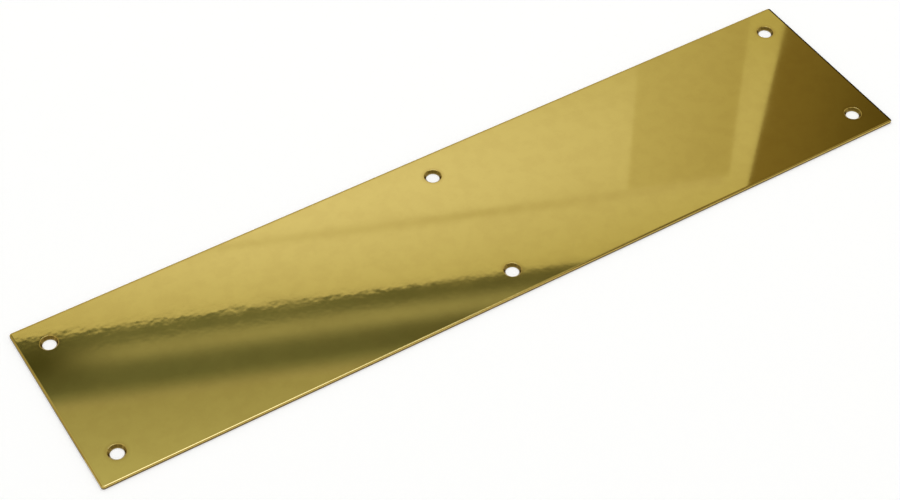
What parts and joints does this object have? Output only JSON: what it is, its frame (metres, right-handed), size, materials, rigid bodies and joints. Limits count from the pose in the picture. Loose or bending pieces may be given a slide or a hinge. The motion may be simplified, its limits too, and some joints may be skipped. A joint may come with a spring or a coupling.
{
  "type": "door finger plate",
  "caption": "Flat rectangular finger plate of polished sheet brass that protects a door's face, with softened edges and countersunk screw holes along both long sides.",
  "frame": {"origin": "centre of the flat back face, which lies against the door", "axes": "+X along the plate's length, +Y across its width, +Z out of the door through the polished face"},
  "size_m": [0.3, 0.07, 0.0012],
  "materials": {
    "polished_brass": "polished"
  },
  "bodies": {
    "root": {"finger_plate": "polished_brass"}
  },
  "joints": []
}
